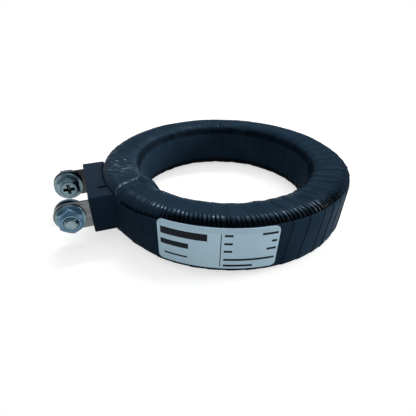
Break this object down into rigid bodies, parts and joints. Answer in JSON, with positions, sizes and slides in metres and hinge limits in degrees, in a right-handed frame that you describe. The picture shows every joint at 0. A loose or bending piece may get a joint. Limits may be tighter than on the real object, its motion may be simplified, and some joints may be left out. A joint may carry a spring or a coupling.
{
  "type": "current transformer",
  "caption": "Tape-wound ring current transformer with a round window for the busbar or cable, and a side terminal block with strap and screw terminals.",
  "frame": {"origin": "centre of the window at half the ring's height", "axes": "+Z along the window's axis, +X from the window's axis towards the terminals, +Y across them"},
  "size_m": [0.1454, 0.1221, 0.0256],
  "materials": {
    "tape": "semi-gloss black wrapping tape, overlapped",
    "insulation": "pale woven insulation tape",
    "core_steel": "wound silicon steel strip",
    "end_ring": "moulded nylon",
    "winding": "enamelled copper wire",
    "block": "black moulded plastic, satin",
    "strap": "tinned brass strip, dull",
    "fastener": "bright zinc plate",
    "label": "satin foil plate",
    "sleeve": "varnished glass sleeving"
  },
  "bodies": {
    "root": {"core": "core_steel", "core_end_ring_upper": "end_ring", "core_end_ring_lower": "end_ring", "core_tape": "insulation", "secondary_winding": "winding", "winding_tape": "insulation", "outer_wrap": "tape", "rating_label": "label", "terminal_block": "block", "terminal_strap_a": "strap", "terminal_screw_a": "fastener", "head_washer_a": "fastener", "spring_washer_a": "fastener", "nut_washer_a": "fastener", "terminal_nut_a": "fastener", "lead_a": "winding", "lead_sleeve_a": "sleeve", "terminal_strap_b": "strap", "terminal_screw_b": "fastener", "head_washer_b": "fastener", "spring_washer_b": "fastener", "nut_washer_b": "fastener", "terminal_nut_b": "fastener", "lead_b": "winding", "lead_sleeve_b": "sleeve"}
  },
  "joints": []
}
